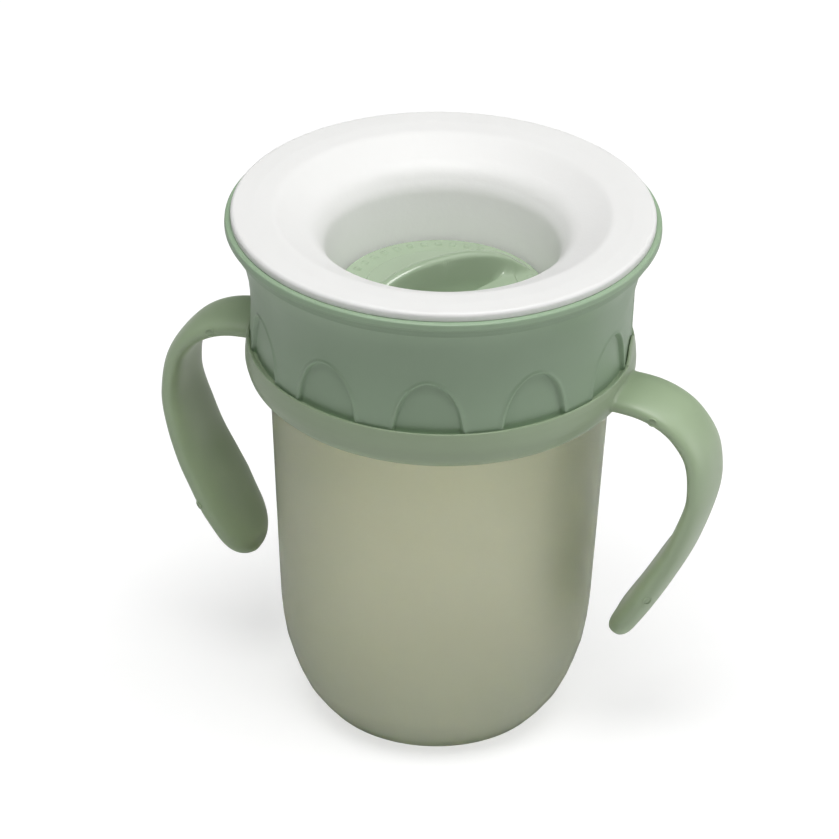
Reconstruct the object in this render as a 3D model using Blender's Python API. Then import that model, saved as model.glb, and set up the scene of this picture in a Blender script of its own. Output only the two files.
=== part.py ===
"""Two-handled training cup with a 360-degree drinking rim, at rest: closed, upright, handles along X."""

import math

import bmesh
import bpy

MM = 0.001

# Overall sizes, millimetres, measured up from the table
RIM_TOP = 113.0  # top of the white drinking rim
RIM_R = 42.0  # outer radius of the drinking rim
FLANGE_R = 43.2  # bead of the collar under the rim
SKIRT_Z, SKIRT_R = 84.4, 38.0  # bottom edge of the collar
RING_Z, RING_R = 75.9, 36.7  # bottom edge of the handle ring
RING_BULGE_R = 39.1

# Cup
FOOT_R = 22.3  # edge of the flat foot
BELLY_Z, BELLY_R = 24.5, 31.7
CUP_TOP_R = 34.2  # outside radius right under the handle ring
WALL = 1.8
NECK_R, NECK_BORE = 33.4, 31.6
MOUTH_Z = 95.2

# Screw threads: collar on cup has three starts, plug in hub has two
LID_LEAD, LID_STARTS = 12.0, 3
PLUG_LEAD, PLUG_STARTS = 8.0, 2
LID_ROOT = 34.7  # inside the collar
HUB_BORE, STEM_R = 13.7, 12.6

# Arches pressed into the collar
ARCHES, ARCH_HALF, ARCH_HIGH, ARCH_DEEP = 11, 6.9, 12.4, 0.5
ARCH_FIRST = -73.6  # degrees

# Plug in the middle of the rim
DISC_Z, DISC_R, DOME_R = 94.7, 20.8, 15.3
FIN_TURN, FIN_HALF, FIN_HIGH = 49.0, 19.7, 7.6

# Handle: centreline in its own plane as (distance from the axis, height), then half widths
HANDLE_LINE = (
    (36.0, 79.9), (43.2, 79.5), (48.3, 77.9), (52.1, 75.1), (55.2, 70.4), (56.2, 64.5),
    (55.7, 58.7), (52.5, 48.9), (49.1, 42.0), (45.4, 35.1), (42.0, 29.4), (39.3, 24.9),
)  # fmt: skip
HANDLE_HALF_WIDTHS = ((0.0, 7.1), (0.3, 7.6), (0.55, 9.6), (0.8, 10.4), (1.0, 8.2))
HANDLE_HALF_THICK = ((0.0, 2.4), (0.45, 2.5), (0.75, 3.0), (1.0, 2.9))

# Lobe beside the collar: degrees from the handle's plane, and height over the ring
SHOULDER_FROM, SHOULDER_TO, SHOULDER_HIGH = 3.0, 22.0, 4.2


def clear_scene():
    for obj in list(bpy.data.objects):
        bpy.data.objects.remove(obj, do_unlink=True)


def link(name, mesh):
    obj = bpy.data.objects.new(name, mesh)
    bpy.context.scene.collection.objects.link(obj)
    return obj


def bake(obj):
    """Turns the modifiers into plain faces that point outwards."""
    graph = bpy.context.evaluated_depsgraph_get()
    mesh = bpy.data.meshes.new_from_object(obj.evaluated_get(graph))
    obj.modifiers.clear()
    obj.data = mesh
    work = bmesh.new()
    work.from_mesh(mesh)
    bmesh.ops.remove_doubles(work, verts=work.verts, dist=1e-7)
    bmesh.ops.recalc_face_normals(work, faces=work.faces)
    work.to_mesh(mesh)
    work.free()
    return obj


def turned(name, outline, steps):
    """A turned solid. An outline that starts and ends on the axis stays open there."""
    points = [(r * MM, 0.0, z * MM) for r, z in outline]
    edges = [(i, i + 1) for i in range(len(points) - 1)]
    if outline[0][0] > 0:
        edges.append((len(points) - 1, 0))
    mesh = bpy.data.meshes.new(name)
    mesh.from_pydata(points, edges, [])
    obj = link(name, mesh)
    screw = obj.modifiers.new("Turn", "SCREW")
    screw.angle = 2 * math.pi
    screw.steps = screw.render_steps = steps
    screw.use_merge_vertices = True
    screw.merge_threshold = 1e-5
    return bake(obj)


def combine(obj, other, operation):
    step = obj.modifiers.new(operation.title(), "BOOLEAN")
    step.operation = operation
    step.solver = "EXACT"
    step.object = other
    bake(obj)
    bpy.data.objects.remove(other, do_unlink=True)
    return obj


def skinned(name, rows):
    """A closed skin over rows of points, with a face over the first and the last row."""
    count = len(rows[0])
    points = [tuple(c * MM for c in p) for row in rows for p in row]
    faces = [tuple(range(count)), tuple(range(len(points) - count, len(points)))]
    for i in range(len(rows) - 1):
        for j in range(count):
            k = (j + 1) % count
            faces.append((i * count + j, i * count + k, (i + 1) * count + k, (i + 1) * count + j))
    mesh = bpy.data.meshes.new(name)
    mesh.from_pydata(points, [], faces)
    return bake(link(name, mesh))


def arc(centre, radius, start, stop, count):
    """Points of an arc, angles in degrees."""
    found = []
    for i in range(count + 1):
        a = math.radians(start + (stop - start) * i / count)
        found.append((centre[0] + radius * math.cos(a), centre[1] + radius * math.sin(a)))
    return found


def between(table, q):
    for (q0, v0), (q1, v1) in zip(table, table[1:]):
        if q <= q1:
            return v0 + (v1 - v0) * (q - q0) / (q1 - q0)
    return table[-1][1]


def curve_through(points, parts):
    """Catmull-Rom points through the given ones."""
    ends = [points[0]] + list(points) + [points[-1]]
    found = []
    for a, b, c, d in zip(ends, ends[1:], ends[2:], ends[3:]):
        for i in range(parts):
            t = i / parts
            found.append(
                tuple(
                    0.5 * (2 * q + (r - p) * t + (2 * p - 5 * q + 4 * r - s) * t * t
                           + (3 * q - p - 3 * r + s) * t ** 3)
                    for p, q, r, s in zip(a, b, c, d)
                )
            )
    return found + [points[-1]]


def thread_ridge(name, base, crest, low, high, lead, start):
    """One thread start, a trapezoid ridge that fades into the wall at both ends."""
    turn = (high - low) / lead * 2 * math.pi
    count = max(8, round(turn / math.radians(12)))
    rows = []
    for i in range(count + 1):
        a = start + turn * i / count
        z = low + (high - low) * i / count
        fade = max(0.15, min(1.0, i / 2, (count - i) / 2))
        top = base + (crest - base) * fade
        rows.append(
            [(r * math.cos(a), r * math.sin(a), z + off)
             for r, off in ((base, -1.1), (top, -0.45), (top, 0.45), (base, 1.1))]
        )
    return skinned(name, rows)


def add_threads(obj, base, crest, low, high, lead, starts, offset):
    """Starts spread round the axis; offset slides the whole thread along it."""
    for i in range(starts):
        start = 2 * math.pi * (i / starts + (low - offset) / lead)
        combine(obj, thread_ridge("ridge", base, crest, low, high, lead, start), "UNION")


def belly():
    """The cup's outside from the foot to the straight wall: a small corner, then one long arc."""
    lean = math.atan2(CUP_TOP_R - BELLY_R, RING_Z - BELLY_Z)
    foot = (FOOT_R + 1.9, 1.05)
    across, up = BELLY_R - foot[0], BELLY_Z - foot[1]
    chord = math.hypot(across, up)
    half = math.atan2(across, up) - lean
    radius = chord / (2 * math.sin(half))
    centre = (BELLY_R - radius * math.cos(lean), BELLY_Z + radius * math.sin(lean))
    first = -math.degrees(2 * half + lean)
    side = arc(centre, radius, first, -math.degrees(lean), 5)
    return [(FOOT_R - 2.3, 0.0), (FOOT_R + 0.3, 0.0), (FOOT_R + 1.2, 0.35)] + side


def make_cup():
    outside = belly()
    shell = [(0.0, 1.0), (FOOT_R - 3.4, 1.0)] + outside
    shell += [(33.0, 50.0), (CUP_TOP_R, RING_Z - 0.2)]
    # bead that carries the handle ring, then the threaded neck
    shell += [(34.4, 76.2), (35.4, 76.5), (35.4, 77.4), (NECK_R, 78.2), (NECK_R, MOUTH_Z - 0.5)]
    shell += [(NECK_R - 0.5, MOUTH_Z), (NECK_BORE + 0.4, MOUTH_Z), (NECK_BORE, MOUTH_Z - 0.4)]
    inside = [(NECK_BORE, 80.0), (NECK_BORE - 0.1, 74.0)]
    inside += [(31.2, 50.0)]
    inside += [(r - WALL, z + 0.35) for r, z in reversed(outside[4:])]
    inside += [(FOOT_R - 1.5, 3.4), (FOOT_R - 4.5, 2.9), (0.0, 2.9)]
    cup = turned("cup_body", shell + inside, 44)
    add_threads(cup, NECK_R - 0.4, 34.35, 86.4, 93.0, LID_LEAD, LID_STARTS, 0.0)
    return cup


def handle_rows(side):
    line = curve_through(HANDLE_LINE, 3)
    spans = [math.dist(a, b) for a, b in zip(line, line[1:])]
    total = sum(spans)
    tip_wide, tip_thick = 8.2, 3.6
    rows = []
    gone = 0.0
    for i, (rho, z) in enumerate(line):
        before, after = line[max(i - 1, 0)], line[min(i + 1, len(line) - 1)]
        dr, dz = after[0] - before[0], after[1] - before[1]
        size = math.hypot(dr, dz)
        normal = (-dz / size, dr / size)
        left = total - gone
        wide = between(HANDLE_HALF_WIDTHS, gone / total)
        thick = between(HANDLE_HALF_THICK, gone / total)
        wide *= math.sqrt(max(0.06, 1 - max(0.0, (tip_wide - left) / tip_wide) ** 2))
        thick *= math.sqrt(max(0.1, 1 - max(0.0, (tip_thick - left) / tip_thick) ** 2))
        row = []
        for j in range(14):
            a = 2 * math.pi * j / 14
            c, s = math.cos(a), math.sin(a)
            across = wide * math.copysign(abs(c) ** 0.85, c)
            out = thick * math.copysign(abs(s) ** 0.85, s)
            row.append((side * (rho + normal[0] * out), side * across, z + normal[1] * out))
        rows.append(row)
        gone += spans[i] if i < len(spans) else 0.0
    return rows


def shoulder(side):
    """Lobe of the ring that rises beside the collar, behind each handle's root."""
    rows = []
    for i in range(13):
        share = 0.02 + 0.96 * i / 12
        rise = SHOULDER_HIGH * math.sin(math.pi * share**0.8) ** 1.5
        turn = math.radians(SHOULDER_FROM + (SHOULDER_TO - SHOULDER_FROM) * share)
        c, s = side * math.cos(turn), math.sin(turn)
        rows.append(
            [(r * c, r * s, z) for r, z in ((38.35, 80.0), (39.1, 80.0), (39.2, 84.2 + 0.35 * rise),
                                            (39.0, 84.2 + 0.75 * rise), (38.7, 84.2 + rise),
                                            (38.35, 84.2 + rise))]
        )
    return skinned("shoulder", rows)


def make_handle_ring():
    outline = [
        (35.9, RING_Z + 0.1), (RING_R - 0.5, RING_Z), (RING_R + 0.3, RING_Z + 0.5),
        (RING_R + 1.3, 77.2), (RING_BULGE_R - 0.3, 78.7), (RING_BULGE_R, 80.3),
        (RING_BULGE_R - 0.15, 82.0), (38.95, 83.5), (38.7, 84.2), (38.4, 84.2), (38.3, 83.8),
        (35.2, 83.8), (LID_ROOT, 83.4),
        (LID_ROOT, 78.7), (35.9, 77.9),
    ]  # fmt: skip
    ring = turned("handle_ring", outline, 44)
    for side in (1, -1):
        combine(ring, skinned("handle", handle_rows(side)), "UNION")
        combine(ring, shoulder(side), "UNION")
    return ring


def arch_cutter():
    """All the arches, each a curved block whose top follows the arch."""
    work = bmesh.new()
    columns = 8
    for n in range(ARCHES):
        middle = math.radians(ARCH_FIRST) + 2 * math.pi * n / ARCHES
        rings = []
        for i in range(columns + 1):
            a = -1 + 2 * i / columns
            top = SKIRT_Z + ARCH_HIGH * (1 - 0.6 * a**2 - 0.4 * abs(a) ** 9) + 0.02
            turn = middle + a * ARCH_HALF / SKIRT_R
            rings.append(
                [work.verts.new((r * math.cos(turn) * MM, r * math.sin(turn) * MM, z * MM))
                 for r, z in ((SKIRT_R - ARCH_DEEP, SKIRT_Z - 1), (40, SKIRT_Z - 1),
                              (40, top), (SKIRT_R - ARCH_DEEP, top))]
            )
        work.faces.new(rings[0])
        work.faces.new(rings[-1][::-1])
        for a, b in zip(rings, rings[1:]):
            for j in range(4):
                work.faces.new((a[j], b[j], b[(j + 1) % 4], a[(j + 1) % 4]))
    bmesh.ops.recalc_face_normals(work, faces=work.faces)
    mesh = bpy.data.meshes.new("arches")
    work.to_mesh(mesh)
    work.free()
    return link("arches", mesh)


def flow_slots(low, high, inner, outer, count, half):
    """Curved slots through the floor of the collar's well."""
    work = bmesh.new()
    for n in range(count):
        rings = []
        for i in range(5):
            turn = 2 * math.pi * n / count + half * (i / 2 - 1)
            rings.append(
                [work.verts.new((r * math.cos(turn) * MM, r * math.sin(turn) * MM, z * MM))
                 for r, z in ((inner, low), (outer, low), (outer, high), (inner, high))]
            )
        work.faces.new(rings[0])
        work.faces.new(rings[-1][::-1])
        for a, b in zip(rings, rings[1:]):
            for j in range(4):
                work.faces.new((a[j], b[j], b[(j + 1) % 4], a[(j + 1) % 4]))
    bmesh.ops.recalc_face_normals(work, faces=work.faces)
    mesh = bpy.data.meshes.new("slots")
    work.to_mesh(mesh)
    work.free()
    return link("slots", mesh)


def make_collar():
    outside = [
        (SKIRT_R - 0.2, SKIRT_Z), (SKIRT_R, SKIRT_Z + 0.3), (37.9, 92.0), (38.3, 97.0),
        (39.1, 101.5), (40.3, 105.2), (41.7, 108.0), (42.1, 108.2), (42.1, 108.8),
        (42.5, 109.0), (42.5, 109.5), (43.0, 109.8), (FLANGE_R, 110.4), (42.9, 111.0),
        (42.2, 111.2), (39.6, 111.2),
    ]  # fmt: skip
    well = [(38.5, 109.6), (37.4, 104.0), (36.5, 98.9), (30.0, 98.6), (29.2, 97.8), (29.2, 90.3)]
    hub = [(14.2, 90.3), (HUB_BORE, 89.8), (HUB_BORE, 82.6), (16.0, 82.6), (16.0, 88.5)]
    under = [(30.6, 88.5), (31.0, 89.0), (31.0, 97.0), (LID_ROOT, 97.0), (LID_ROOT, SKIRT_Z + 0.7)]
    collar = turned("collar", outside + well + hub + under + [(35.3, SKIRT_Z)], 44)
    combine(collar, arch_cutter(), "DIFFERENCE")
    combine(collar, flow_slots(87.5, 91.2, 23.4, 27.8, 6, math.radians(22)), "DIFFERENCE")
    add_threads(collar, LID_ROOT + 0.45, 33.8, 86.4, 94.2, LID_LEAD, LID_STARTS, 2.0)
    add_threads(collar, HUB_BORE + 0.4, 12.95, 84.0, 88.8, PLUG_LEAD, PLUG_STARTS, 2.0)
    return collar


def make_collar_seal():
    outline = [(31.4, 95.5), (34.0, 95.5), (34.3, 95.8), (34.3, 96.4), (34.0, 96.7), (31.4, 96.7)]
    return turned("collar_seal", outline, 32)


def make_drinking_rim():
    top = [
        (RIM_R, 111.9), (RIM_R, 112.5), (RIM_R - 0.4, 112.9), (RIM_R - 1.2, RIM_TOP),
        (37.5, 112.95), (33.6, 112.6), (30.4, 111.2), (27.4, 109.6), (25.4, 108.3),
        (24.1, 106.9), (23.4, 104.9), (22.5, 100.0), (21.3, 94.2), (21.2, 92.4), (20.8, 92.0),
        (14.0, 92.0),
    ]  # fmt: skip
    under = [
        (14.0, 90.7), (22.4, 90.7), (23.0, 91.3), (24.1, 100.0), (25.0, 104.6),
        (26.3, 106.7), (29.5, 109.0), (33.0, 110.8), (37.0, 111.5), (RIM_R - 0.4, 111.5),
    ]  # fmt: skip
    return turned("drinking_rim", top + under, 44)


def make_twist_plug():
    outline = [
        (0.0, 90.0), (9.8, 90.0), (10.6, 89.2), (10.8, 84.0), (STEM_R - 0.3, 84.0),
        (STEM_R, 84.3), (STEM_R, 92.3), (20.5, 92.3), (DISC_R, 92.6), (DISC_R, DISC_Z - 0.3),
        (DISC_R - 0.3, DISC_Z), (DOME_R + 0.3, DISC_Z), (DOME_R, DISC_Z + 0.4),
        (12.0, DISC_Z + 1.3), (7.0, DISC_Z + 1.75), (0.0, DISC_Z + 1.9),
    ]  # fmt: skip
    plug = turned("twist_plug", outline, 40)
    turn = math.radians(FIN_TURN)
    c, s = math.cos(turn), math.sin(turn)

    def placed(u, v, z):
        return (u * c - v * s, u * s + v * c, z)

    # finger scoops either side of the fin
    for side in (1, -1):
        rows = []
        for i in range(1, 10):
            b = math.pi * i / 10
            rows.append(
                [placed(13.4 * math.cos(b), side * 5.2 + 4.2 * math.sin(b) * math.cos(a),
                        DISC_Z + 2.0 + 4.9 * math.sin(b) * math.sin(a))
                 for a in (2 * math.pi * j / 14 for j in range(14))]
            )
        combine(plug, skinned("scoop", rows), "DIFFERENCE")
    # arched fin, a little thinner at its crest
    rows = []
    for v, drop in ((-1.3, 1.6), (-1.0, 0.5), (-0.4, 0.0), (0.4, 0.0), (1.0, 0.5), (1.3, 1.6)):
        row = [placed(-19.0, v, DISC_Z - 1.0)]
        for i in range(17):
            u = 19.0 * (-1 + i / 8)
            high = FIN_HIGH * (1 - abs(u / FIN_HALF) ** 2.6)
            row.append(placed(u, v, DISC_Z + max(high - drop, 0.2)))
        row.append(placed(19.0, v, DISC_Z - 1.0))
        rows.append(row)
    combine(plug, skinned("fin", rows), "UNION")
    add_threads(plug, STEM_R - 0.4, 13.35, 85.4, 88.6, PLUG_LEAD, PLUG_STARTS, 0.0)
    return plug


def finish(obj, colour, rough, clear):
    material = bpy.data.materials.new(obj.name)
    material.use_nodes = True
    shader = material.node_tree.nodes["Principled BSDF"]
    shader.inputs["Base Color"].default_value = (*colour, 1.0)
    shader.inputs["Roughness"].default_value = rough
    shader.inputs["Transmission Weight"].default_value = clear
    obj.data.materials.clear()
    obj.data.materials.append(material)
    for face in obj.data.polygons:
        face.use_smooth = True
    obj.data.set_sharp_from_angle(angle=math.radians(32))


clear_scene()
finish(make_cup(), (0.33, 0.40, 0.28), 0.45, 0.15)
finish(make_handle_ring(), (0.24, 0.34, 0.21), 0.4, 0.0)
finish(make_collar(), (0.22, 0.32, 0.21), 0.45, 0.0)
finish(make_collar_seal(), (0.80, 0.80, 0.78), 0.6, 0.0)
finish(make_drinking_rim(), (0.86, 0.86, 0.85), 0.55, 0.0)
finish(make_twist_plug(), (0.30, 0.42, 0.27), 0.25, 0.0)
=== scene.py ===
"""Two-handled training cup with a white 360-degree drinking rim: its looks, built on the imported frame."""

import math

import bpy
import numpy as np
from mathutils import Matrix, Vector


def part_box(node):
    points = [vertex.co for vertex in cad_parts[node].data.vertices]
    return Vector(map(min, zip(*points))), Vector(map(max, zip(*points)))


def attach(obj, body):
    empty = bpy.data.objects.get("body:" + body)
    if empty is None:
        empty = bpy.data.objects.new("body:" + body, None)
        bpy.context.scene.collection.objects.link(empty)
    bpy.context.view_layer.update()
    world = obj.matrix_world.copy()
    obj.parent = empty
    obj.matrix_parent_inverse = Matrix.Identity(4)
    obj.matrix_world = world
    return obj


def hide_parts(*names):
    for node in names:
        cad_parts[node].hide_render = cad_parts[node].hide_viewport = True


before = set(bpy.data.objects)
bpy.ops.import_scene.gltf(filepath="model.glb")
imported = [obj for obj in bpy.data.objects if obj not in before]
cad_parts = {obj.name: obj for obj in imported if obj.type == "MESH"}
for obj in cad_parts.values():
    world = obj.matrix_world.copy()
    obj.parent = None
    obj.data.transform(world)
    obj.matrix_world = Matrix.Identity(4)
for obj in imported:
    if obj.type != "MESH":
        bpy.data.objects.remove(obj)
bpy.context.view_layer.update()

MM = 0.001

# Low and high corners of the frame's own pieces, in millimetres
RIM_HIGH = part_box("drinking_rim")[1] / MM
COLLAR_LOW, COLLAR_HIGH = (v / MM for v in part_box("collar"))
CUP_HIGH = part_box("cup_body")[1] / MM
PLUG_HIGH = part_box("twist_plug")[1] / MM
SEAL_LOW, SEAL_HIGH = (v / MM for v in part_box("collar_seal"))

# Heights (Z) and radii (R) in millimetres: the drinking rim, the collar with its bead, the cup's neck
RIM_TOP, RIM_R = RIM_HIGH[2], RIM_HIGH[0]
SKIRT_Z, SKIRT_R = COLLAR_LOW[2], 38.0
FLANGE_Z, FLANGE_R = COLLAR_HIGH[2], COLLAR_HIGH[0]
MOUTH_Z = CUP_HIGH[2]
NECK_R, NECK_BORE = 33.4, 31.6
WALL = 1.8  # of the cup

# The handles' ring, and the step in its top edge that the collar's skirt sits in
RING_Z, RING_TOP = 75.9, 84.25
STEP_Z, STEP_R, RING_BORE = 83.6, 38.35, 34.7

# Screw threads: lead, starts, and the height at angle 0 of a ridge on the inner of the two pieces
LID_THREAD = (12.0, 3, 86.4)
PLUG_THREAD = (8.0, 2, 85.4)
LID_ROOT, HUB_BORE, STEM_R = 34.7, 13.7, 12.6

# Arches pressed into the collar's skirt: how many, half width, height, depth and lip round each
ARCHES, ARCH_HALF, ARCH_HIGH, ARCH_DEEP, ARCH_LIP = 11, 6.9, 12.4, 0.65, 0.25
ARCH_FIRST = math.radians(-73.6)

# The plug: top of its disc, its dome, and the fin and finger scoops on it
DISC_Z, DISC_R, DOME_R = 94.7, PLUG_HIGH[0], 15.3
FIN_TURN, FIN_HALF, FIN_HIGH, FIN_THICK = math.radians(49.0), 19.7, 7.6, 2.6
SCOOP_HALF, SCOOP_WIDE, SCOOP_DEEP = 16.9, 8.2, 3.8
DASHES, DASH_R, DASH_HIGH = 40, 18.6, 0.25


# ---------------------------------------------------------------- mesh helpers


def mesh_object(name, points, faces):
    """A smooth-shaded object from points in millimetres."""
    mesh = bpy.data.meshes.new(name)
    mesh.from_pydata((np.asarray(points) * MM).tolist(), [], faces)
    mesh.shade_smooth()
    obj = bpy.data.objects.new(name, mesh)
    bpy.context.scene.collection.objects.link(obj)
    return obj


def applied(obj):
    """Turn the object's modifiers into plain faces."""
    graph = bpy.context.evaluated_depsgraph_get()
    mesh = bpy.data.meshes.new_from_object(obj.evaluated_get(graph))
    obj.modifiers.clear()
    obj.data = mesh
    mesh.shade_smooth()


def rounded(corners, step=2.0, bend=12, closed=True):
    """An outline through corners (r, z, fillet radius), its arcs cut every `bend` degrees and its
    straight stretches every `step` millimetres. A corner's fourth number, where it has one, is the
    step of its arc and of the stretch after it. A straight stretch gets a short piece at both ends,
    which keeps the shading flat next to a small fillet."""
    end_piece, shortest_cut = 0.15, 0.5
    count = len(corners)
    runs = []
    for i in range(count):
        here = np.array(corners[i][:2], float)
        if not closed and i in (0, count - 1):
            runs.append([here])
            continue
        back = np.array(corners[i - 1][:2], float) - here
        on = np.array(corners[(i + 1) % count][:2], float) - here
        len_back, len_on = np.hypot(*back), np.hypot(*on)
        back, on = back / len_back, on / len_on
        half = math.acos(float(np.clip(back @ on, -1, 1))) / 2
        radius = corners[i][2]
        if radius <= 0 or half > math.radians(89.5):
            runs.append([here])
            continue
        reach = min(radius / math.tan(half), 0.49 * len_back, 0.49 * len_on)
        radius = reach * math.tan(half)
        middle = (back + on) / np.hypot(*(back + on))
        centre = here + middle * radius / math.sin(half)
        start, stop = here + back * reach - centre, here + on * reach - centre
        sweep = math.atan2(start[0] * stop[1] - start[1] * stop[0], float(start @ stop))
        parts = max(2, math.ceil(abs(math.degrees(sweep)) / bend))
        if len(corners[i]) > 3:
            parts = max(parts, math.ceil(abs(sweep) * radius / corners[i][3]))
        run = []
        for k in range(parts + 1):
            c, s = math.cos(sweep * k / parts), math.sin(sweep * k / parts)
            run.append(centre + [start[0] * c - start[1] * s, start[0] * s + start[1] * c])
        runs.append(run)
    found = []
    for i, run in enumerate(runs):
        found += run
        if not closed and i == count - 1:
            break
        a, b = run[-1], runs[(i + 1) % count][0]
        length = float(np.hypot(*(b - a)))
        if length < shortest_cut:
            continue
        inner = max(1, round(length / (corners[i][3] if len(corners[i]) > 3 else step)))
        cuts = [end_piece / length]
        cuts += [k / inner for k in range(1, inner)]
        cuts.append(1 - end_piece / length)
        found += [a + (b - a) * t for t in cuts]
    return np.array(found)


def turned(name, outline, segments, relief=None):
    """A solid of revolution. An outline that starts and ends at r = 0 closes on the axis.
    relief(angle, r, z) gives a change of (r, z) all over it, for threads and pressed shapes."""
    outline = np.asarray(outline, float)
    on_axis = outline[0][0] < 1e-6
    rings = outline[1:-1] if on_axis else outline
    turn = np.arange(segments) * 2 * math.pi / segments
    angle, r = np.meshgrid(turn, rings[:, 0])
    z = np.repeat(rings[:, 1][:, None], segments, axis=1)
    if relief:
        dr, dz = relief(angle, r, z)
        r, z = r + dr, z + dz
    points = np.stack([r * np.cos(angle), r * np.sin(angle), z], -1).reshape(-1, 3)
    rows = len(rings)
    i, j = np.meshgrid(np.arange(rows - 1 if on_axis else rows), np.arange(segments), indexing="ij")
    i, j = i.ravel(), j.ravel()
    k, n = (j + 1) % segments, (i + 1) % rows
    faces = np.stack([i * segments + j, i * segments + k, n * segments + k, n * segments + j], -1)
    faces = faces.tolist()
    if on_axis:
        first, last = len(points), len(points) + 1
        poles = outline[[0, -1], 1]
        if relief:
            poles = poles + relief(np.zeros(2), np.zeros(2), poles)[1]
        points = np.vstack([points, [0, 0, poles[0]], [0, 0, poles[1]]])
        end = (rows - 1) * segments
        for j in range(segments):
            k = (j + 1) % segments
            faces.append([first, k, j])
            faces.append([last, end + j, end + k])
    return mesh_object(name, points, faces)


def lofted(name, sections):
    """A solid through closed sections that have equally many points, capped at both ends."""
    points = np.vstack(sections)
    sides = len(sections[0])
    faces = [list(range(sides)), list(range(len(points) - sides, len(points)))[::-1]]
    for i in range(len(sections) - 1):
        for j in range(sides):
            k = (j + 1) % sides
            faces.append([i * sides + k, i * sides + j, (i + 1) * sides + j, (i + 1) * sides + k])
    return mesh_object(name, points, faces)


def joined(whole, parts):
    """Other objects made part of one."""
    bpy.ops.object.select_all(action="DESELECT")
    for part in (whole, *parts):
        part.select_set(True)
    bpy.context.view_layer.objects.active = whole
    bpy.ops.object.join()


def smooth_step(x):
    """0 below 0 and 1 above 1, with a smooth rise between them."""
    x = np.clip(x, 0, 1)
    return x * x * (3 - 2 * x)


def on_wall(r, radius):
    """Which points of an outline lie on its upright wall of that radius."""
    return np.abs(r - radius) < 0.02


def thread(angle, z, low, high, screw, outer=False):
    """Height of a screw thread between two heights, 0 to 1: a rounded ridge that fades out at both
    ends. The outer piece's ridge runs half a pitch above the inner one's."""
    lead, starts, height = screw
    pitch = lead / starts
    if outer:
        height = height + pitch / 2
    half_base, flank, fade = 1.05, 0.6, 1.2
    phase = (z - height - lead * angle / (2 * math.pi)) / pitch
    away = np.abs(phase - np.round(phase)) * pitch
    ridge = smooth_step((half_base - away) / flank)
    return ridge * smooth_step((z - low) / fade) * smooth_step((high - z) / fade)


# ---------------------------------------------------------------- materials


# Noise scales, per metre
MOTTLE_SCALE, ROUGH_SCALE, GRAIN_SCALE, PEEL_SCALE = 45.0, 120.0, 2500.0, 700.0


def material(name, colour, rough, subsurface, radius=(1, 1, 1), depth=0.003, coat=0.0, clear=0.0,
             grain=0.03, mottle=0.04, rough_swing=0.05, peel=0.0):
    """Moulded plastic or silicone: a soft mottle in the colour, an uneven roughness and a fine
    surface grain, with broad orange peel where it has some."""
    made = bpy.data.materials.new(name)
    made.use_nodes = True
    tree = made.node_tree
    nodes, links = tree.nodes, tree.links
    shader = nodes["Principled BSDF"]
    place = nodes.new("ShaderNodeTexCoord").outputs["Object"]

    def noise(scale, detail):
        made_noise = nodes.new("ShaderNodeTexNoise")
        made_noise.inputs["Scale"].default_value = scale
        made_noise.inputs["Detail"].default_value = detail
        made_noise.inputs["Roughness"].default_value = 0.55
        links.new(place, made_noise.inputs["Vector"])
        return made_noise.outputs["Fac"]

    def ranged(value, low, high):
        """The noise's middle values spread from low to high."""
        made_range = nodes.new("ShaderNodeMapRange")
        made_range.inputs["From Min"].default_value = 0.3
        made_range.inputs["From Max"].default_value = 0.7
        made_range.inputs["To Min"].default_value = low
        made_range.inputs["To Max"].default_value = high
        links.new(value, made_range.inputs["Value"])
        return made_range.outputs["Result"]

    tint = nodes.new("ShaderNodeMix")
    tint.data_type = "RGBA"
    tint.inputs["A"].default_value = (*(c * (1 - mottle) for c in colour), 1)
    tint.inputs["B"].default_value = (*(min(c * (1 + mottle), 1) for c in colour), 1)
    links.new(ranged(noise(MOTTLE_SCALE, 4.0), 0, 1), tint.inputs["Factor"])
    links.new(tint.outputs["Result"], shader.inputs["Base Color"])
    uneven = ranged(noise(ROUGH_SCALE, 4.0), rough - rough_swing, rough + rough_swing)
    links.new(uneven, shader.inputs["Roughness"])

    fine = nodes.new("ShaderNodeBump")
    fine.inputs["Strength"].default_value = grain
    fine.inputs["Distance"].default_value = 0.0002
    links.new(noise(GRAIN_SCALE, 3.0), fine.inputs["Height"])
    if peel:
        broad = nodes.new("ShaderNodeBump")
        broad.inputs["Strength"].default_value = peel
        broad.inputs["Distance"].default_value = 0.0005
        links.new(noise(PEEL_SCALE, 2.0), broad.inputs["Height"])
        links.new(broad.outputs["Normal"], fine.inputs["Normal"])
    links.new(fine.outputs["Normal"], shader.inputs["Normal"])

    shader.inputs["IOR"].default_value = 1.5
    shader.inputs["Subsurface Weight"].default_value = subsurface
    shader.inputs["Subsurface Radius"].default_value = radius
    shader.inputs["Subsurface Scale"].default_value = depth
    shader.inputs["Coat Weight"].default_value = coat
    shader.inputs["Transmission Weight"].default_value = clear
    return made


def dress(obj, made, body, node):
    """The object in its material, riding on its body in place of the frame's node."""
    obj.data.materials.clear()
    obj.data.materials.append(made)
    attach(obj, body)
    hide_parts(node)


SAGE = (0.375, 0.475, 0.31)
COLLAR_SAGE = (0.315, 0.43, 0.295)


# ---------------------------------------------------------------- cup


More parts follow.
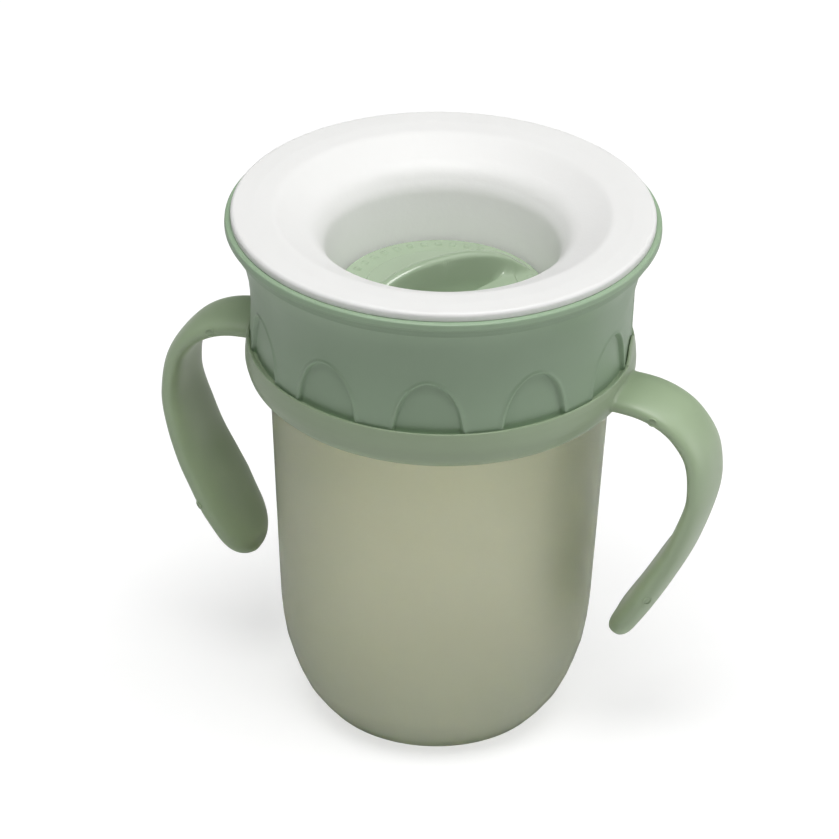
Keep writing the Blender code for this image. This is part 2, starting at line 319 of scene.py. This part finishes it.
def cup_outline():
    """Foot, outside, mouth and inside of the cup, with the bead that the handles' ring rests on."""
    foot_r, belly_r, belly_z, top_r, top_z = 22.6, 31.8, 24.5, 34.2, RING_Z - 0.2
    outside = [
        (foot_r, 0.0, 3.2), (27.2, 5.6, 26.0), (30.9, 16.0, 40.0), (belly_r, belly_z, 60.0),
        (33.0, 50.0, 0.0), (top_r, top_z, 0.2), (35.4, top_z + 0.5, 0.3), (35.4, 77.4, 0.4),
        (NECK_R, 78.3, 0.8), (NECK_R, 85.0, 0.0), (NECK_R, MOUTH_Z, 0.6), (NECK_BORE, MOUTH_Z, 0.5),
    ]  # fmt: skip
    inside = [
        (NECK_BORE, 79.0, 3.0), (31.2, 50.0, 0.0), (belly_r - WALL, belly_z, 60.0),
        (30.9 - WALL - 0.2, 16.4, 40.0), (25.4, 6.6, 22.0), (22.0, 2.9, 4.0), (0.0, 2.9, 0.0),
    ]  # fmt: skip
    base = [(0.0, 1.0, 0.0), (foot_r - 3.4, 1.0, 0.8), (foot_r - 2.5, 0.0, 0.5)]
    return rounded(base + outside + inside, step=1.2, closed=False)


def make_cup():
    def neck_thread(angle, r, z):
        on_neck = on_wall(r, NECK_R) & (z > 83)
        return 0.95 * thread(angle, z, 85.3, 94.1, LID_THREAD) * on_neck, 0 * z

    cup = turned("cup_shell", cup_outline(), 288, neck_thread)
    made = material("frosted_sage", (0.95, 0.915, 0.78), 0.5, subsurface=1.0,
                    radius=(1.0, 0.95, 0.75), depth=0.004, clear=0.8, grain=0.05, mottle=0.02)
    # light that passes through the wall gets greener with every millimetre of it
    tree = made.node_tree
    tinted = tree.nodes.new("ShaderNodeVolumeAbsorption")
    tinted.inputs["Color"].default_value = (0.58, 0.86, 0.56, 1)
    tinted.inputs["Density"].default_value = 60.0
    tree.links.new(tinted.outputs["Volume"], tree.nodes["Material Output"].inputs["Volume"])
    dress(cup, made, "cup", "cup_body")


# ---------------------------------------------------------------- handles and their ring

# Handle centreline in its own plane as (distance from the axis, height)
HANDLE_LINE = (
    (36.0, 79.9), (43.2, 79.5), (48.3, 77.9), (52.1, 75.1), (55.2, 70.4), (56.2, 64.5),
    (55.7, 58.7), (52.5, 48.9), (49.1, 42.0), (45.4, 35.1), (42.0, 29.4), (39.3, 24.9),
)  # fmt: skip
# Half width and half thickness as (share of the way from root to tip, millimetres)
HANDLE_HALF_WIDTHS = ((0.0, 7.1), (0.3, 7.6), (0.55, 9.6), (0.8, 10.4), (1.0, 8.2))
HANDLE_HALF_THICK = ((0.0, 2.4), (0.45, 2.42), (0.75, 2.95), (1.0, 2.9))
# Ejector-pin marks of the right handle as places beside its root and its tip, and their raised edge
PIN_MARKS = ((47.0, -7.4, 78.5), (48.3, -9.6, 38.8))
MARK_R, MARK_EDGE, MARK_SUNK = 0.85, 0.16, 0.03
# Lobe beside the collar: degrees from the handle's plane, foot, and height over the foot
LOBE_FROM, LOBE_TO, LOBE_FOOT, LOBE_HIGH = 3.0, 22.0, 84.2, 4.0


def curve_through(points, parts):
    """Catmull-Rom points through the given ones."""
    ends = np.array([points[0], *points, points[-1]], float)
    t = (np.arange(parts) / parts)[:, None]
    found = []
    for p, q, r, s in zip(ends, ends[1:], ends[2:], ends[3:]):
        found.append(0.5 * (2 * q + (r - p) * t + (2 * p - 5 * q + 4 * r - s) * t**2
                            + (3 * q - p - 3 * r + s) * t**3))
    return np.vstack([*found, ends[-1:]])


def handle(side):
    """One handle: flat and oblong in section, with a rounded tip."""
    line = curve_through(HANDLE_LINE, 12)
    run = np.r_[0, np.cumsum(np.hypot(*np.diff(line, axis=0).T))]
    ahead = np.gradient(line, axis=0)
    ahead /= np.linalg.norm(ahead, axis=1)[:, None]
    outward = np.stack([-ahead[:, 1], ahead[:, 0]], -1)
    wide = np.interp(run / run[-1], *zip(*HANDLE_HALF_WIDTHS))
    thick = np.interp(run / run[-1], *zip(*HANDLE_HALF_THICK))
    # both run out in a quarter ellipse towards the tip
    tip_wide, tip_thick = 8.2, 4.2
    to_tip = run[-1] - run
    wide = wide * np.sqrt(np.clip(1 - np.clip(1 - to_tip / tip_wide, 0, 1) ** 2, 0.002, 1))
    thick = thick * np.sqrt(np.clip(1 - np.clip(1 - to_tip / tip_thick, 0, 1) ** 2, 0.01, 1))
    sides, squareness, hollow_deep = 48, 0.85, 0.22
    turn = np.arange(sides) * 2 * math.pi / sides
    across = np.sign(np.cos(turn)) * np.abs(np.cos(turn)) ** squareness
    inward = np.sign(np.sin(turn)) * np.abs(np.sin(turn)) ** squareness
    # the inner face is a little hollow across its width
    hollow = np.where(inward > 0, -hollow_deep * (1 - across**2) ** 2, 0.0)
    sections = []
    for middle, normal, half_wide, half_thick in zip(line, outward, wide, thick):
        shift = half_thick * inward + hollow * half_thick
        sections.append(np.stack([side * (middle[0] - normal[0] * shift), side * half_wide * across,
                                  middle[1] - normal[1] * shift], -1))
    return lofted("handle", sections)


def lobe(side):
    """The part of the ring that rises beside the collar, behind each handle's root."""
    steps, low = 48, 80.0
    sections = []
    for i in range(steps + 1):
        # it stops just short of both ends, where it has no height left
        share = 0.005 + 0.99 * i / steps
        turn = math.radians(LOBE_FROM + (LOBE_TO - LOBE_FROM) * share)
        rise = LOBE_HIGH * math.sin(math.pi * share**0.8) ** 1.5
        top = LOBE_FOOT + rise
        outline = (
            (38.05, low), (38.9, low), (38.8, LOBE_FOOT + 0.35 * rise), (38.65, LOBE_FOOT + 0.75 * rise),
            (38.45, top - 0.1), (38.05, top),
        )  # fmt: skip
        sections.append([(side * r * math.cos(turn), r * math.sin(turn), z) for r, z in outline])
    return lofted("lobe", sections)


def ring(inset=0.0):
    """The ring between the handles, with a shallow step that the collar's skirt sits in."""
    low, high = RING_Z + inset, RING_TOP - inset
    step_r, step_z = STEP_R - inset, STEP_Z - inset
    corners = [
        (35.9, low, 0.4), (36.6 - inset, low, 0.5), (38.4 - inset, 77.6, 3.0),
        (39.2 - inset, 80.3, 4.0), (39.0 - inset, 82.8, 2.2), (38.75 - inset, high, 0.25),
        (step_r, high, 0.08), (step_r, step_z, 0.1), (RING_BORE, step_z, 0.5), (RING_BORE, 78.3, 0.2),
        (35.9, 77.9, 0.2),
    ]  # fmt: skip
    return turned("ring", rounded(corners, step=1.0), 360)


def add_details(whole):
    """The ring itself, and the round marks of ejector pins near both ends of each handle."""
    bpy.context.view_layer.update()
    details = [ring()]
    for side in (1, -1):
        for x, y, z in PIN_MARKS:
            _, place, normal, _ = whole.closest_point_on_mesh(Vector((side * x, y, z)) * MM)
            bpy.ops.mesh.primitive_torus_add(
                major_radius=MARK_R * MM, minor_radius=MARK_EDGE * MM, major_segments=32, minor_segments=8,
                location=place - normal * MARK_SUNK * MM,
                rotation=normal.to_track_quat("Z", "Y").to_euler(),
            )
            bpy.context.object.data.shade_smooth()
            details.append(bpy.context.object)
    joined(whole, details)


def make_handle_ring():
    # the handles and lobes blend into a core just under the ring's surface, which stays crisp
    whole = ring(inset=0.08)
    parts = []
    for side in (1, -1):
        parts += [handle(side), lobe(side)]
    joined(whole, parts)
    whole.name = "handle_loops"
    fuse = whole.modifiers.new("Fuse", "REMESH")
    fuse.mode = "VOXEL"
    fuse.voxel_size = 0.32 * MM
    soften = whole.modifiers.new("Soften", "SMOOTH")
    soften.factor = 0.5
    soften.iterations = 8
    applied(whole)
    add_details(whole)
    made = material("satin_sage", SAGE, 0.36, subsurface=0.15, radius=(1, 1, 0.8), depth=0.002,
                    grain=0.04, mottle=0.02)
    dress(whole, made, "handles", "handle_ring")


# ---------------------------------------------------------------- collar


def collar_outline():
    """Skirt, step lines and bead outside, then the well, the plug's hub and the lid's thread wall."""
    fine = 0.25  # step where the edges of the arches run
    outside = [
        (SKIRT_R, SKIRT_Z, 0.25, fine), (37.85, 91.0, 60.0, fine), (38.4, 99.0, 40.0), (40.1, 105.0, 22.0),
        (41.4, 107.5, 0.5), (41.8, 107.65, 0.1), (41.95, 108.45, 0.1), (42.3, 108.6, 0.1),
        (42.45, 109.4, 0.15), (FLANGE_R, 109.7, 0.5), (FLANGE_R - 0.1, FLANGE_Z, 0.35),
        (39.6, FLANGE_Z, 0.5),
    ]  # fmt: skip
    well = [
        (37.6, 104.0, 10.0), (36.5, 98.7, 0.6), (29.2, 98.5, 1.2), (29.2, 90.3, 0.4),
        (HUB_BORE, 90.3, 0.5, 0.3), (HUB_BORE, 82.6, 0.4), (16.0, 82.6, 0.4), (16.0, 88.5, 0.8),
        (31.0, 88.5, 0.5), (31.0, 97.0, 0.3), (LID_ROOT, 97.0, 0.3, 0.3), (LID_ROOT, 86.0, 0.0),
        (35.2, SKIRT_Z, 0.3),
    ]  # fmt: skip
    return rounded(outside + well)


def arches(angle, z):
    """Depth pressed into the collar's skirt by the row of arches; less than 0 on the lip round each."""
    spacing = 2 * math.pi / ARCHES
    turn = (angle - ARCH_FIRST + spacing / 2) % spacing - spacing / 2
    # a runs from 0 at an arch's middle to 1 at its feet, and its edge is `high` over the skirt's edge
    a = np.abs(turn) * SKIRT_R / ARCH_HALF
    high = ARCH_HIGH * (1 - 0.6 * a**2 - 0.4 * a**9)
    # millimetres inside that edge, measured square to it
    slope = np.hypot(1.0, ARCH_HIGH * (1.2 * a + 3.6 * a**8) / ARCH_HALF)
    inside = (SKIRT_Z + high - z) / slope
    lip_middle, lip_wide, edge_wide = 0.42, 0.26, 0.34
    lip = ARCH_LIP * np.exp(-(((inside + lip_middle) / lip_wide) ** 2))
    return ARCH_DEEP * smooth_step((inside + edge_wide / 2) / edge_wide) - lip


def make_collar():
    def shaped(angle, r, z):
        on_skirt = (r > 37.0) & (z < 100)
        on_lid = on_wall(r, LID_ROOT) & (z < 96.5)
        on_hub = on_wall(r, HUB_BORE)
        lid = 0.9 * thread(angle, z, 85.4, 95.3, LID_THREAD, outer=True)
        hub = 0.75 * thread(angle, z, 83.0, 89.8, PLUG_THREAD, outer=True)
        return -arches(angle, z) * on_skirt - lid * on_lid - hub * on_hub, 0 * z

    collar = turned("collar_shell", collar_outline(), 1078, shaped)
    made = material("collar_sage", COLLAR_SAGE, 0.42, subsurface=0.12, radius=(1, 1, 0.8), depth=0.002,
                    grain=0.06, mottle=0.02)
    dress(collar, made, "collar", "collar")


def make_seal():
    low, high = SEAL_LOW[2], SEAL_HIGH[2]
    bore, outer = 31.4, 34.3
    corners = [(bore, low, 0.3), (outer, low, 0.4), (outer, high, 0.4), (bore, high, 0.3)]
    seal = turned("seal_ring", rounded(corners, step=1.0), 192)
    made = material("seal_silicone", (0.80, 0.80, 0.78), 0.55, subsurface=0.4)
    dress(seal, made, "seal", "collar_seal")


# ---------------------------------------------------------------- drinking rim


def make_rim():
    top = [
        (RIM_R, 111.25, 0.1), (RIM_R, RIM_TOP, 0.75), (37.5, RIM_TOP - 0.03, 0.0),
        (33.4, RIM_TOP - 0.3, 3.5), (25.6, 108.7, 7.0), (23.4, 105.2, 6.0), (22.4, 99.5, 0.0),
        (21.2, 92.0, 0.4), (14.0, 92.0, 0.4),
    ]  # fmt: skip
    under = [
        (14.0, 90.7, 0.4), (22.8, 90.7, 0.8), (24.2, 100.0, 0.0), (25.2, 106.0, 5.0),
        (32.5, 110.8, 5.0), (36.5, 111.3, 2.0),
    ]  # fmt: skip
    rim = turned("rim_funnel", rounded(top + under, step=0.8, bend=6), 360)
    made = material("white_silicone", (0.86, 0.86, 0.845), 0.5, subsurface=0.2, grain=0.08,
                    mottle=0.008, peel=0.05)
    dress(rim, made, "rim", "drinking_rim")


# ---------------------------------------------------------------- twist plug


def plug_relief(angle, r, z):
    """Change of height over the plug's top: two finger scoops in the low dome, the arched fin between
    them, and a ring of small raised dashes outside the dome."""
    top = z > DISC_Z - 0.05
    # u runs along the fin and v across it
    u = r * np.cos(angle - FIN_TURN)
    v = r * np.sin(angle - FIN_TURN)
    # finger scoops: widest and rounded at the middle of the fin, pointed at its ends, with a crisp edge
    blunt, wall_wide = 4.0, 2.4
    edge = SCOOP_WIDE * np.clip(1 - (np.hypot(u, blunt) - 1.0) / SCOOP_HALF, 0, 1)
    inside = np.clip((edge - np.abs(v)) / wall_wide, 0, 1)
    ground = z - SCOOP_DEEP * np.sin(inside * math.pi / 2) * smooth_step(edge / 3.0)
    # fin: rounded crest over steep flanks that sweep out into the scoops
    crest = DISC_Z + FIN_HIGH * (1 - np.clip(np.abs(u) / FIN_HALF, 0, 1) ** 2.6)
    half = FIN_THICK / 2
    across = np.clip(np.abs(v) / half, 0, 1)
    share = 1 - 0.12 * (1 - np.sqrt(1 - across**2))
    share = share * np.exp(-np.maximum(np.abs(v) - half, 0) / 0.5)
    high = ground + np.maximum(crest - ground, 0) * share * (np.abs(u) < FIN_HALF)
    # dashes, kept clear of the fin
    turn = (angle * DASHES / (2 * math.pi)) % 1
    dash = smooth_step((0.24 - np.abs(turn - 0.5)) / 0.08)
    dash = dash * smooth_step((0.75 - np.abs(r - DASH_R)) / 0.3)
    high = high + DASH_HIGH * dash * (np.abs(v) > 3.0)
    return np.where(top, high - z, 0)


def make_plug():
    fine = 0.2  # step over the dashes, the scoops and the fin
    corners = [
        (0.0, 89.6, 0.0), (10.6, 89.6, 1.2), (10.8, 84.0, 0.4), (STEM_R, 84.0, 0.5, 0.3),
        (STEM_R, 92.3, 0.2), (DISC_R, 92.3, 0.4), (DISC_R, DISC_Z, 0.4, fine),
        (DOME_R + 0.35, DISC_Z, 0.3, fine), (DOME_R - 0.1, DISC_Z + 0.5, 0.4, fine),
        (7.5, DISC_Z + 1.8, 12.0, fine), (0.0, DISC_Z + 1.9, 0.0),
    ]  # fmt: skip

    def shaped(angle, r, z):
        on_stem = on_wall(r, STEM_R) & (z < 91)
        return 0.75 * thread(angle, z, 84.6, 89.4, PLUG_THREAD) * on_stem, plug_relief(angle, r, z)

    plug = turned("plug_body", rounded(corners, closed=False), 720, shaped)
    made = material("gloss_sage", (0.345, 0.435, 0.305), 0.16, subsurface=0.1, depth=0.002, grain=0.01,
                    mottle=0.02, rough_swing=0.03, coat=0.3)
    dress(plug, made, "plug", "twist_plug")


# ---------------------------------------------------------------- studio


FLOOR_SIZE = 6.0
# Grey of the floor for the light it throws back, its grey as seen, and how much it glows as seen
FLOOR_ALBEDO, FLOOR_SEEN, FLOOR_GLOW = 0.8, 0.45, 0.66
WORLD_LIGHT = 0.01


def grey(value):
    """A colour without hue, from black at 0 to white at 1."""
    return (value, value, value, 1)


def make_floor():
    bpy.ops.mesh.primitive_plane_add(size=FLOOR_SIZE, location=(0, 0, 0))
    floor = bpy.context.object
    floor.name = "floor"
    made = bpy.data.materials.new("paper")
    made.use_nodes = True
    tree = made.node_tree
    shader = tree.nodes["Principled BSDF"]
    shader.inputs["Roughness"].default_value = 0.9
    shader.inputs["Specular IOR Level"].default_value = 0.1
    # it throws back the light of white paper, but what is seen of it, straight or through the cup,
    # is darker and glows, so that little more than the contact shadow is left
    shader.inputs["Emission Color"].default_value = grey(1)
    path = tree.nodes.new("ShaderNodeLightPath")
    seen = tree.nodes.new("ShaderNodeMath")
    seen.operation = "MAXIMUM"
    glow = tree.nodes.new("ShaderNodeMath")
    glow.operation = "MULTIPLY"
    glow.inputs[1].default_value = FLOOR_GLOW
    tree.links.new(path.outputs["Is Camera Ray"], seen.inputs[0])
    tree.links.new(path.outputs["Is Transmission Ray"], seen.inputs[1])
    tree.links.new(seen.outputs["Value"], glow.inputs[0])
    tree.links.new(glow.outputs["Value"], shader.inputs["Emission Strength"])
    shade = tree.nodes.new("ShaderNodeMix")
    shade.data_type = "RGBA"
    shade.inputs["A"].default_value = grey(FLOOR_ALBEDO)
    shade.inputs["B"].default_value = grey(FLOOR_SEEN)
    tree.links.new(seen.outputs["Value"], shade.inputs["Factor"])
    tree.links.new(shade.outputs["Result"], shader.inputs["Base Color"])
    floor.data.materials.append(made)


def area_light(name, place, aim, size, power):
    """A white rectangle of light; sizes in metres and power in watts."""
    data = bpy.data.lights.new(name, "AREA")
    data.shape = "RECTANGLE"
    data.size, data.size_y = size
    data.energy = power
    lamp = bpy.data.objects.new(name, data)
    lamp.location = place
    lamp.rotation_mode = "QUATERNION"
    lamp.rotation_quaternion = (Vector(place) - Vector(aim)).to_track_quat("Z", "Y")
    bpy.context.scene.collection.objects.link(lamp)


CAMERA_TURN, CAMERA_PITCH, CAMERA_ROLL = math.radians(19.93), math.radians(30.85), math.radians(1.065)
LENS, SENSOR = 214.5, 36.0
# Metres: from the camera to the plane of the rim's middle, and from the optical axis to that middle
RIM_DISTANCE, RIM_RIGHT, RIM_UP = 0.9837, 0.00474, 0.04151


def make_camera():
    """The camera that the photo was taken with, as fitted to the ellipses of the cup."""
    forward = Vector((-math.sin(CAMERA_TURN) * math.cos(CAMERA_PITCH),
                      math.cos(CAMERA_TURN) * math.cos(CAMERA_PITCH), -math.sin(CAMERA_PITCH)))
    right = Vector((math.cos(CAMERA_TURN), math.sin(CAMERA_TURN), 0))
    up = right.cross(forward)
    c, s = math.cos(CAMERA_ROLL), math.sin(CAMERA_ROLL)
    right, up = c * right + s * up, c * up - s * right
    rim = Vector((0, 0, RIM_TOP * MM))
    data = bpy.data.cameras.new("camera")
    data.lens, data.sensor_width = LENS, SENSOR
    data.clip_start, data.clip_end = 0.05, 20
    camera = bpy.data.objects.new("camera", data)
    place = rim - RIM_DISTANCE * forward - RIM_RIGHT * right - RIM_UP * up
    facing = Matrix((right, up, -forward)).transposed().to_4x4()
    camera.matrix_world = Matrix.Translation(place) @ facing
    bpy.context.scene.collection.objects.link(camera)
    bpy.context.scene.camera = camera


def camera_side(right, away, up):
    """A place given to the right of, away from and above the object as the camera sees it."""
    c, s = math.cos(CAMERA_TURN), math.sin(CAMERA_TURN)
    return (right * c - away * s, right * s + away * c, up)


def make_light():
    aim = (0, 0, 0.06)
    area_light("over", camera_side(0.0, -0.35, 1.4), aim, (1.0, 0.7), 17.6)
    area_light("right", camera_side(0.75, 0.2, 1.1), aim, (0.9, 0.9), 3.2)
    area_light("left", camera_side(-0.75, 0.2, 1.1), aim, (0.9, 0.9), 1.3)
    area_light("low_right", camera_side(1.1, 0.0, 0.35), aim, (0.7, 0.6), 2.4)
    world = bpy.data.worlds.new("studio")
    world.use_nodes = True
    tree = world.node_tree
    # the camera sees white past the floor's edge, but next to no light comes from it
    shown = tree.nodes.new("ShaderNodeMapRange")
    shown.inputs["To Min"].default_value = WORLD_LIGHT
    tree.links.new(tree.nodes.new("ShaderNodeLightPath").outputs["Is Camera Ray"], shown.inputs["Value"])
    tree.nodes["Background"].inputs["Color"].default_value = grey(1)
    tree.links.new(shown.outputs["Result"], tree.nodes["Background"].inputs["Strength"])
    bpy.context.scene.world = world
    bpy.context.scene.view_settings.view_transform = "Standard"


make_camera()
make_light()
make_floor()
make_cup()
make_handle_ring()
make_collar()
make_seal()
make_rim()
make_plug()
